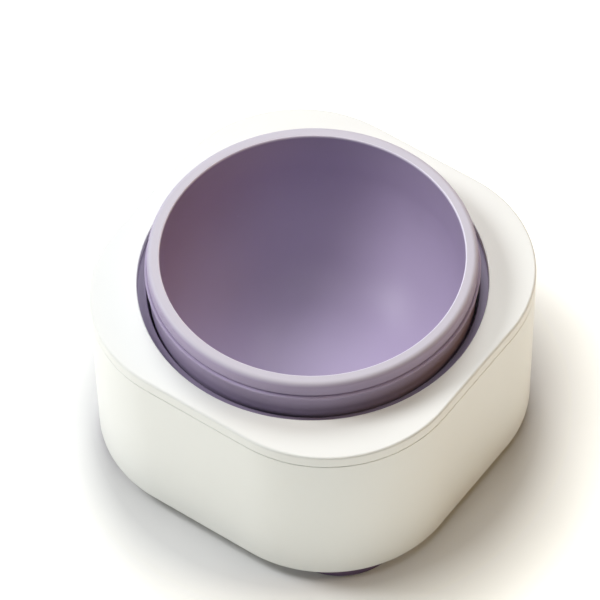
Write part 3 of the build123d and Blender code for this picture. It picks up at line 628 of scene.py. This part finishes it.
def frosted(name):
    """Frosted light window: pale, with a deep soft grain and a clear coat."""
    recipe = Recipe(name, Coat_Weight=0.6, Coat_Roughness=0.25, Subsurface_Weight=0.2,
                    Subsurface_Radius=(0.002, 0.002, 0.002))
    frost = recipe.noise(0.18 * MM, 3, 0.6)
    shade = recipe.mix(frost, (0.66, 0.66, 0.70), (0.80, 0.80, 0.84))
    return recipe.done(Base_Color=shade, Roughness=0.5 + frost * 0.12, Normal=recipe.bump(frost, 0.01 * MM))


# ---------------- pieces

class CoverOperator(Operator):
    """Make the cover plate"""
    bl_idname = "yogurt_maker.cover"
    bl_label = "Cover plate"

    def execute(self, context):
        """The outer half of the section, from the skirt round the edge to the top, is carried round
        the rounded square; the inner half is turned about the axis; the top and the underside are
        straight lines between the two, point by point."""
        s = context.scene.yogurt_shell
        top, low = COVER_HIGH.z, s.seam + s.seam_gap / 2
        under, flat = top - s.skin, 4 * MM
        outer = rounded([(-s.wall - 0.5 * MM, under, 0), (-s.wall, under, 0.2 * MM),
                         (-s.wall, low, 0.25 * MM), (0, low, 0.3 * MM), (0, top, s.edge),
                         (-flat, top, 0)])[1:-1]
        inner = rounded([(s.opening + flat, top, 0), (s.opening, top, s.opening_edge),
                         (s.opening, under, 0.15 * MM), (s.opening + flat, under, 0)])[1:-1]
        edge = outline(s.half, s.half, s.corner, ARC_STEPS, SIDE_STEPS)
        wall = carried(edge, outer)
        angle = np.arctan2(edge[0][:, 1], edge[0][:, 0])
        unit = np.stack([np.cos(angle), np.sin(angle)], 1)[None]
        across = unit * inner[:, 0, None, None]
        rise = np.broadcast_to(inner[:, 1, None, None], across.shape[:2] + (1,))
        well = np.concatenate([across, rise], 2)
        share = np.linspace(0, 1, 10)[1:-1, None, None]
        deck = wall[-1] + (well[0] - wall[-1]) * share
        ceiling = well[-1] + (wall[0] - well[-1]) * share
        mesh = grid_mesh(np.concatenate([wall, deck, well, ceiling]), ring=True)
        piece("cover_plate", mesh, "base", shell_finish(), "white_plastic", "top_cover")
        return {"FINISHED"}


def tapered(profile, sizes):
    """Moves a profile in by the lean of the wall: nothing at the seam, the whole taper at the foot."""
    lean = sizes.taper * (sizes.seam - profile[:, 1]) / (sizes.seam - CASING_LOW.z)
    return np.stack([profile[:, 0] - np.maximum(lean, 0), profile[:, 1]], 1)


def window_cutter(half_x, half_y, corner, depth, flare=0.25 * MM):
    """A rounded block for cutting a window, a little wider at its mouth so that the window's edge is
    bevelled: its profile is carried round a rounded rectangle and closed at both ends."""
    edge = outline(half_x, half_y, corner, 12, 6)
    profile = np.array([(0, -depth), (0, -flare), (flare, 0), (flare, depth / 2)])
    return grid_mesh(closed_both(carried(edge, profile)))


def panel_half(sizes):
    """Half of the width and height of the panel's face, without the flange behind the wall."""
    return (PANEL_HIGH.y - PANEL_LOW.y) / 2 - sizes.lip, (PANEL_HIGH.z - PANEL_LOW.z) / 2 - sizes.lip


class CasingOperator(Operator):
    """Make the casing wall with its two windows"""
    bl_idname = "yogurt_maker.casing"
    bl_label = "Casing"

    def execute(self, context):
        """A closed section, leaning in towards the bottom, is carried round the rounded square; the
        windows of the panel and of the inlet are cut out of it."""
        s = context.scene.yogurt_shell
        p = context.scene.yogurt_panel
        top, low = s.seam - s.seam_gap / 2, CASING_LOW.z
        lip, shelf = s.wall + 0.1 * MM, s.seam - 2.5 * MM
        behind = lip + 1.2 * MM
        section = loop([(0, low, s.edge), (0, top, 0.3 * MM), (-lip, top, 0.1 * MM),
                        (-lip, CASING_HIGH.z, 0.2 * MM), (-behind, CASING_HIGH.z, 0.3 * MM),
                        (-behind, shelf, 0.2 * MM), (-s.wall, shelf, 0.2 * MM),
                        (-s.wall, low, 0.2 * MM)])
        edge = outline(s.half, s.half, s.corner, ARC_STEPS, SIDE_STEPS)
        wall = grid_mesh(carried(edge, tapered(section, s)), ring=True)
        lean = s.half - s.taper * (s.seam - middle_of("control_panel").z) / (s.seam - low)
        panel = window_cutter(*(half + PANEL_FIT for half in panel_half(p)), p.corner, CUT_DEPTH)
        set_on(panel, PANEL_SIDE, (-lean, 0, middle_of("control_panel").z))
        inlet = window_cutter(*INLET_WINDOW, 3 * MM, CUT_DEPTH)
        set_on(inlet, INLET_SIDE, (0, lean, middle_of("inlet_socket").z))
        mesh = cut(wall, panel, inlet)
        piece("casing_wall", mesh, "base", shell_finish(), "white_plastic", "outer_casing")
        return {"FINISHED"}


class BowlOperator(Operator):
    """Make the lift-out bowl"""
    bl_idname = "yogurt_maker.bowl"
    bl_label = "Bowl"

    def execute(self, context):
        """A profile turned about the axis: a flat floor, a round bottom as one large arc, an upright
        wall, the flat rim, the outer band, the groove, the bead and the outer wall down to the pad."""
        b = context.scene.yogurt_bowl
        rim, bead = BOWL_HIGH.z, BOWL_HIGH.z - b.bead_drop
        turn = rim - b.turn_drop
        floor, under = turn - b.arc, turn - b.arc - b.wall
        inner, groove = b.rim_inner - BOWL_LEAN, b.rim_outer - 0.45 * MM
        above, below = bead + b.bead_tall / 2, bead - b.bead_tall / 2
        pad = inner - b.arc
        profile = rounded([
            (0, floor, 0), (inner, floor, b.arc), (b.rim_inner, rim, 0.55 * MM),
            (b.rim_outer, rim, 1.8 * MM), (b.rim_outer, above + 0.45 * MM, 0.3 * MM),
            (groove, above + 0.3 * MM, 0.1 * MM), (groove, above, 0.08 * MM),
            (b.bead_radius, above, 0.5 * MM), (b.bead_radius, below, 0.5 * MM),
            (b.rim_outer - 0.25 * MM, below, 0.15 * MM),
            (inner + b.wall, under, b.arc + b.wall), (pad - 0.6 * MM, under, 0.2 * MM),
            (pad - 0.8 * MM, BOWL_LOW.z, 0.3 * MM), (0, BOWL_LOW.z, 0)])
        mesh = grid_mesh(turned(profile, b.steps))
        # the bowl's material carries the painted sheen and the painted highlight on its rim
        worn = lilac_finish("lilac_bowl", worn=rim_painted_sheen)
        piece("lift_out_bowl", mesh, "bowl", worn, "lilac_plastic", "bowl")
        return {"FINISHED"}


class CollarOperator(Operator):
    """Make the ledge round the bowl and its gasket"""
    bl_idname = "yogurt_maker.collar"
    bl_label = "Collar and gasket"

    def execute(self, context):
        """Two closed profiles turned about the axis."""
        b = context.scene.yogurt_bowl
        top, plate, low = COLLAR_HIGH.z, GASKET_HIGH.z, COLLAR_LOW.z
        outer, skirt = COLLAR_HIGH.x, GASKET_HIGH.x + 0.2 * MM
        ledge = loop([(COLLAR_INNER, plate, 0.4 * MM), (COLLAR_INNER, top, 0.4 * MM),
                      (outer, top, 0.2 * MM), (outer, low, 0.2 * MM), (skirt, low, 0.2 * MM),
                      (skirt, plate, 0.2 * MM)])
        mesh = grid_mesh(turned(ledge, b.steps), ring=True)
        # painted shade: the ledge takes a darker copy of the lilac (0.62), for the shade in the gap under
        # the bowl's rim
        piece("collar_ledge", mesh, "base", lilac_finish("lilac_collar", 0.62), "lilac_plastic",
              "collar_ring")
        ring = loop([(GASKET_INNER, GASKET_LOW.z, 0.2 * MM), (GASKET_INNER, plate, 0.2 * MM),
                     (GASKET_HIGH.x, plate, 0.1 * MM), (GASKET_HIGH.x, GASKET_LOW.z, 0.1 * MM)])
        mesh = grid_mesh(turned(ring, b.steps), ring=True)
        rubber = plain_plastic("gasket_rubber", (0.60, 0.57, 0.64), 0.6)
        piece("gasket_ring", mesh, "base", rubber, "clear_rubber", "collar_gasket")
        return {"FINISHED"}


class PotOperator(Operator):
    """Make the heated pot and finish what is fixed to it"""
    bl_idname = "yogurt_maker.pot"
    bl_label = "Pot and heaters"

    def execute(self, context):
        """One profile turned about the axis: the pot's inside, its rolled flange, its outside and
        the stud below."""
        b = context.scene.yogurt_bowl
        thick = POT_HIGH.z - FLANGE_UNDER
        reach = BOWL_HIGH.z - b.turn_drop
        turn_r = b.rim_inner - BOWL_LEAN - b.arc
        arc = reach - BOWL_LOW.z
        lift = POT_HIGH.z - reach
        outer, under, down, steps = arc + thick, BOWL_LOW.z - thick, -math.pi / 2, 64
        middle = np.array([turn_r, reach])
        inside = middle + arc_path(arc, down, math.asin(lift / arc), steps)
        outside = middle + arc_path(outer, math.asin((lift - thick) / outer), down, steps)
        flange = rounded([tuple(inside[-1]) + (0,), (POT_HIGH.x, POT_HIGH.z, 0.4 * MM),
                          (POT_HIGH.x, POT_HIGH.z - thick, 0.4 * MM), tuple(outside[0]) + (0,)])[1:-1]
        stud = rounded([(2 * STUD_RADIUS, under, 0), (STUD_RADIUS, under, 0.3 * MM),
                        (STUD_RADIUS, POT_LOW.z, 0.4 * MM), (0, POT_LOW.z, 0)])
        profile = np.concatenate([[[0, BOWL_LOW.z]], inside, flange, outside, stud])
        mesh = grid_mesh(turned(profile, b.steps))
        spun = once("spun_metal", spun_metal)
        piece("heated_pot", mesh, "base", spun, "pot_aluminium", "heating_pot")
        steel = once("spring_steel", drawn_metal, (0.55, 0.55, 0.56), 0.3)
        dress({"bottom_heater": spun, "band_heater": once("heater_film", heater_film),
               "insulation_sleeve": once("insulation_felt", felt), "temperature_sensor": brass_finish(),
               "thermal_fuse": steel, "sensor_bracket": steel, "heater_nut": steel,
               "pot_frame": plain_plastic("frame_grey", (0.58, 0.58, 0.56))})
        return {"FINISHED"}


def brass_finish():
    """Plain brass of pins and the sensor's can."""
    return once("pin_brass", drawn_metal, (0.72, 0.52, 0.22), 0.2)


def dress(finishes):
    """Gives carried-over CAD nodes their materials."""
    for node, material in finishes.items():
        coat(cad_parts[node].data, material)


class FeetOperator(Operator):
    """Make the four rubber feet"""
    bl_idname = "yogurt_maker.feet"
    bl_label = "Feet"

    def execute(self, context):
        """One profile turned about the axis: a sole with two shallow grooves, a rounded edge, the flat
        top, the peg and its barb."""
        radius, top, barb = (FOOT_HIGH.x - FOOT_LOW.x) / 2, CASING_LOW.z, FOOT_HIGH.z
        step = top + 2.5 * MM
        deep, slope, wide = 0.35 * MM, 0.3 * MM, 1.4 * MM
        sole = [(0, 0, 0)]
        for groove in (7.0 * MM, 14.0 * MM):
            sole += [(groove, 0, 0.15 * MM), (groove + slope, deep, 0.1 * MM),
                     (groove + wide - slope, deep, 0.1 * MM), (groove + wide, 0, 0.15 * MM)]
        profile = rounded(sole + [
            (radius, 0, 1.2 * MM), (radius, top, 0.3 * MM), (PEG_RADIUS, top, 0.2 * MM),
            (PEG_RADIUS, step, 0.2 * MM), (BARB_RADIUS, step, 0.2 * MM),
            (BARB_RADIUS, barb, 1.0 * MM), (0, barb, 0)])
        for node in ("front_left_foot", "front_right_foot", "rear_left_foot", "rear_right_foot"):
            middle = middle_of(node)
            mesh = moved(grid_mesh(turned(profile, 160)), (middle.x, middle.y, 0))
            piece(node + "_pad", mesh, "base", once("lilac_rubber", rubber), "lilac_rubber", node)
        return {"FINISHED"}


class PanelOperator(Operator):
    """Make the control panel and its light window"""
    bl_idname = "yogurt_maker.panel"
    bl_label = "Control panel"

    def execute(self, context):
        """A stepped profile carried round a rounded rectangle and closed at both ends, less two round
        holes and a slot; the window is a low dome in the slot."""
        p = context.scene.yogurt_panel
        place = (PANEL_LOW.x, 0, middle_of("control_panel").z)
        profile = rounded([(0, -PANEL_BACK, 0), (p.lip, -PANEL_BACK, 0.2 * MM),
                           (p.lip, -p.step, 0.2 * MM), (0, -p.step, 0.1 * MM), (0, 0, 0.4 * MM),
                           (-2 * MM, 0, 0)])
        edge = outline(*panel_half(p), p.corner, 16, 8)
        face = grid_mesh(closed_both(carried(edge, profile), 4))
        cutters = []
        for node in ("power_button", "timer_button"):
            y = middle_of(node).y
            reach, bevel, proud = BUTTON_RADIUS + p.button_gap, 0.2 * MM, 2 * MM
            hole = turned(np.array([(0, -CUT_DEPTH), (reach, -CUT_DEPTH), (reach, -bevel),
                                    (reach + bevel, 0), (reach + bevel, proud), (0, proud)]), 96)
            cutters.append(moved(grid_mesh(hole), (-y, 0, 0)))
        slot = (half + LENS_FIT for half in LENS_HALF)
        cutters.append(window_cutter(*slot, LENS_HALF[1], SLOT_DEPTH, 0.1 * MM))
        mesh = set_on(cut(face, *cutters), PANEL_SIDE, place)
        piece("panel_face", mesh, "base", lilac_finish(), "lilac_plastic", "control_panel")
        lip, tail = 1 * MM, PANEL_BACK + 0.7 * MM
        dome = rounded([(lip, -tail, 0), (lip, -PANEL_BACK, 0.1 * MM), (0, -PANEL_BACK, 0.05 * MM),
                        (0, -0.15 * MM, 0.35 * MM), (-1.3 * MM, -0.02 * MM, 0)])
        grid = closed_both(carried(outline(*LENS_HALF, LENS_HALF[1], 16, 8), dome), 2)
        mesh = set_on(grid_mesh(grid), PANEL_SIDE, place)
        window = once("frosted_window", frosted)
        piece("light_window", mesh, "base", window, "lens_frosted", "indicator_lens")
        return {"FINISHED"}


def stroke(path, width):
    """The outline of a line drawn along a path, with half circles at its ends.  Each side point is the
    path's point moved by half the width along the path's normal."""
    ahead = np.gradient(path, axis=0)
    ahead /= np.linalg.norm(ahead, axis=1)[:, None]
    left = np.stack([-ahead[:, 1], ahead[:, 0]], 1)
    turn = np.linspace(0, math.pi, 10)[1:-1, None]
    cap = path[-1] + width / 2 * (np.cos(turn) * -left[-1] + np.sin(turn) * ahead[-1])
    tail = path[0] + width / 2 * (np.cos(turn) * left[0] - np.sin(turn) * ahead[0])
    return np.concatenate([path - left * width / 2, cap, (path + left * width / 2)[::-1], tail])


def inlay(edges, thick):
    """A mesh of flat strokes: each outline gets straight sides, a top and a bottom face."""
    points, faces, start = [], [], 0
    for edge in edges:
        count = len(edge)
        for height in (-thick, 0.0):
            points.append(np.concatenate([edge, np.full((count, 1), height)], 1))
        ring = np.arange(count)
        after = (ring + 1) % count
        faces += (np.stack([ring, after, after + count, ring + count], 1) + start).tolist()
        faces += [(ring[::-1] + start).tolist(), (ring + count + start).tolist()]
        start += 2 * count
    mesh = bpy.data.meshes.new("inlay")
    mesh.from_pydata(np.concatenate(points).tolist(), [], faces)
    return mesh


class ButtonsOperator(Operator):
    """Make the two push buttons and their marks"""
    bl_idname = "yogurt_maker.buttons"
    bl_label = "Buttons"

    def execute(self, context):
        """A profile turned about the button's axis: the flange, the rounded edge and a shallow dish.
        The marks are thin inlays in the dish: an open ring with a bar, and a ring with two hands."""
        p = context.scene.yogurt_panel
        tall, flange = BUTTON_HIGH.x - BUTTON_LOW.x, BUTTON_LOW.x - BUTTON_FLANGE_X
        dish_radius = BUTTON_RADIUS - 0.6 * MM
        reach = np.linspace(dish_radius, 0, 12)
        dish = np.stack([reach, -p.dish * np.cos(reach / dish_radius * math.pi / 2)], 1)
        side = rounded([(0, -tall, 0), (BUTTON_FLANGE_RADIUS, -tall, 0.15 * MM),
                        (BUTTON_FLANGE_RADIUS, flange, 0.15 * MM), (BUTTON_RADIUS, flange, 0.1 * MM),
                        (BUTTON_RADIUS, 0, 0.5 * MM), (dish_radius, 0, 0)])[:-1]
        ink = plain_plastic("mark_lilac", (0.24, 0.19, 0.33), 0.5)
        wide, thick, level = 0.42 * MM, 0.2 * MM, -p.dish * 0.72
        marks = {
            "power": [arc_path(2.0 * MM, *np.radians((128, 412)), 40),
                      np.linspace((0, 0.9 * MM), (0, 2.5 * MM), 6)],
            "timer": [arc_path(2.1 * MM, 0, math.radians(356), 40),
                      np.linspace((0, 0), (0, 1.25 * MM), 6), np.linspace((0, 0), (0.95 * MM, 0), 6)],
        }
        for name, paths in marks.items():
            node = name + "_button"
            middle = middle_of(node)
            place = (BUTTON_LOW.x, middle.y, middle.z)
            cap = grid_mesh(turned(np.concatenate([side, dish]), 128))
            piece(name + "_button_cap", set_on(cap, PANEL_SIDE, place), node,
                  shell_finish(), "white_plastic", node)
            mark = moved(inlay([stroke(path, wide) for path in paths], thick), (0, 0, level))
            piece(name + "_mark", set_on(mark, PANEL_SIDE, place), node, ink, "lilac_plastic")
        return {"FINISHED"}


class InletOperator(Operator):
    """Finish the power inlet and its pins"""
    bl_idname = "yogurt_maker.inlet"
    bl_label = "Power inlet"

    def execute(self, context):
        """The inlet and its pins keep their CAD shapes."""
        dress({"inlet_socket": plain_plastic("inlet_black", (0.018, 0.018, 0.02), 0.36),
               "inlet_pins": brass_finish()})
        return {"FINISHED"}


class InsidesOperator(Operator):
    """Finish the base plate, boards, leads and screws"""
    bl_idname = "yogurt_maker.insides"
    bl_label = "Base and insides"

    def execute(self, context):
        """These keep their CAD shapes and get materials."""
        steel = once("screw_steel", drawn_metal, (0.62, 0.62, 0.63), 0.25)
        green = once("board_green", board)
        lead = plain_plastic("lead_grey", (0.32, 0.32, 0.34), 0.5)
        black = plain_plastic("part_black", (0.02, 0.02, 0.022), 0.4)
        finishes = {"base_plate": shell_finish(), "power_board": green, "control_board": green,
                    "transformer": once("core_grey", drawn_metal, (0.12, 0.12, 0.13), 0.5),
                    "capacitor": plain_plastic("sleeve_black", (0.015, 0.015, 0.018), 0.25),
                    "relay": plain_plastic("relay_blue", (0.01, 0.05, 0.2), 0.3),
                    "terminal_block": plain_plastic("block_green", (0.02, 0.22, 0.07)),
                    "tact_switches": black,
                    "indicator_lamps": plain_plastic("lamp_white", (0.80, 0.76, 0.55), 0.3)}
        finishes.update({node: lead for node in ("mains_leads", "heater_leads", "control_cable")})
        finishes.update({node: steel for node in ("base_screws", "cover_screws", "board_screws",
                                                  "panel_screws")})
        dress(finishes)
        return {"FINISHED"}


# ---------------- stage

def area_light(name, place, aim, size, power, tint):
    """A round soft light at a place, turned to its aim."""
    data = bpy.data.lights.new(name, "AREA")
    data.shape, data.size, data.energy, data.color = "DISK", size, power, tint
    made = added(name, data)
    made.location = place
    made.rotation_euler = (Vector(aim) - Vector(place)).to_track_quat("-Z", "Y").to_euler()
    made.visible_camera = False


def from_camera_side(azimuth, turn, height, distance):
    """A place seen from the object: turn is the angle to the camera's right, height the elevation."""
    a = azimuth + math.radians(turn)
    e = math.radians(height)
    return Vector((math.sin(a) * math.cos(e), -math.cos(a) * math.cos(e), math.sin(e))) * distance


class StageOperator(Operator):
    """Make the floor, the lights and the camera"""
    bl_idname = "yogurt_maker.stage"
    bl_label = "Stage"

    def execute(self, context):
        """A pale floor whose glow depends on the distance from the axis, a faint even sky, and five
        round lights: the key on the left, a low one in front, one overhead, one behind and a low warm
        one on the right.  The camera looks down at the cover's opening through a long lens."""
        s = context.scene.yogurt_stage
        aim = Vector((0, 0, COVER_HIGH.z))
        mesh = grid_mesh(closed_over(turned(np.array([(FLOOR_RADIUS, 0.0), (1.0, 0.0)]), 64)))
        floor = added("floor", mesh)
        # painted light: the floor glows, brightest in a ring round the object where its shadows fall, with
        # a warm tint
        recipe = Recipe("floor_white", Specular_IOR_Level=0.0, Roughness=1.0, Emission_Strength=s.glow)
        tint = recipe.mix(recipe.noise(0.4, 2), (0.74, 0.74, 0.735), (0.76, 0.76, 0.755))
        x, y, _ = recipe.axes()
        stops = ((radius / GLOW_REACH, level) for radius, level in FLOOR_GLOW)
        glow = recipe.ramp(recipe.reach(x, y) / GLOW_REACH, *stops)
        lit = recipe.mix(glow, (0, 0, 0), (1.0, 0.99, 0.90))
        mesh.materials.append(recipe.done(Base_Color=tint, Emission_Color=lit))
        world = bpy.data.worlds.new("even_sky")
        world.use_nodes = True
        sky = world.node_tree.nodes["Background"]
        sky.inputs["Color"].default_value = (1.0, 0.99, 0.98, 1)
        sky.inputs["Strength"].default_value = s.sky
        context.scene.world = world
        for name, turn, height, size, power, tint in (
                ("key", -106, 44, 0.55, s.key, (0.97, 0.98, 1)),
                ("front", -38, 25, 0.9, s.front, (0.98, 1, 0.94)),
                ("top", 0, 88, 0.9, s.top, (1, 1, 1)),
                ("back", 180, 50, 0.8, s.back, (0.96, 0.98, 1)),
                ("warm", 88, 28, 0.9, s.warm, (1, 0.55, 0.08))):
            place = aim + from_camera_side(s.azimuth, turn, height, LIGHT_DISTANCE)
            area_light(name, place, aim, size, power, tint)
        data = bpy.data.cameras.new("camera")
        data.lens, data.sensor_width = s.lens, 36.0
        data.clip_start, data.clip_end = 0.05, 50
        camera = added("camera", data)
        turn = Matrix.Rotation(s.azimuth, 3, "Z")
        right = turn @ Vector((1, 0, 0))
        ahead = turn @ Vector((0, math.cos(s.elevation), -math.sin(s.elevation)))
        up = right.cross(ahead)
        tilted = right * math.cos(s.roll) + up * math.sin(s.roll)
        upward = up * math.cos(s.roll) - right * math.sin(s.roll)
        target = aim + turn @ Vector((s.aim_right, s.aim_back, 0))
        axes = Matrix((tilted, upward, -ahead)).transposed()
        camera.matrix_world = Matrix.Translation(target - ahead * s.distance) @ axes.to_4x4()
        context.scene.camera = camera
        context.scene.view_settings.view_transform = "Standard"
        return {"FINISHED"}


# ---------------- add-on

OPERATORS = (CoverOperator, CasingOperator, BowlOperator, CollarOperator, PotOperator, FeetOperator,
             PanelOperator, ButtonsOperator, InletOperator, InsidesOperator, StageOperator)

GROUPS = {"yogurt_shell": ShellSizes, "yogurt_bowl": BowlSizes, "yogurt_panel": PanelSizes,
          "yogurt_finishes": Finishes, "yogurt_stage": StageSettings}


class YogurtPanel(Panel):
    """Lists the pieces and their sizes"""
    bl_idname = "VIEW3D_PT_yogurt_maker"
    bl_label = "Yogurt Maker"
    bl_space_type = "VIEW_3D"
    bl_region_type = "UI"
    bl_category = "Yogurt Maker"

    def draw(self, context):
        for group, kind in GROUPS.items():
            box = self.layout.box()
            box.label(text=kind.__doc__)
            for name in kind.__annotations__:
                box.prop(getattr(context.scene, group), name)
        for operator in OPERATORS:
            self.layout.operator(operator.bl_idname)


def register():
    """Adds the classes and hangs the settings on the scene."""
    for kind in (*GROUPS.values(), *OPERATORS, YogurtPanel):
        bpy.utils.register_class(kind)
    for name, kind in GROUPS.items():
        setattr(bpy.types.Scene, name, PointerProperty(type=kind))


def unregister():
    """Takes the settings and the classes away again."""
    for name in GROUPS:
        delattr(bpy.types.Scene, name)
    for kind in (YogurtPanel, *OPERATORS[::-1], *list(GROUPS.values())[::-1]):
        bpy.utils.unregister_class(kind)


def main():
    """Builds everything in order."""
    register()
    for operator in OPERATORS:
        group, name = operator.bl_idname.split(".")
        getattr(getattr(bpy.ops, group), name)()


if __name__ == "__main__":
    main()
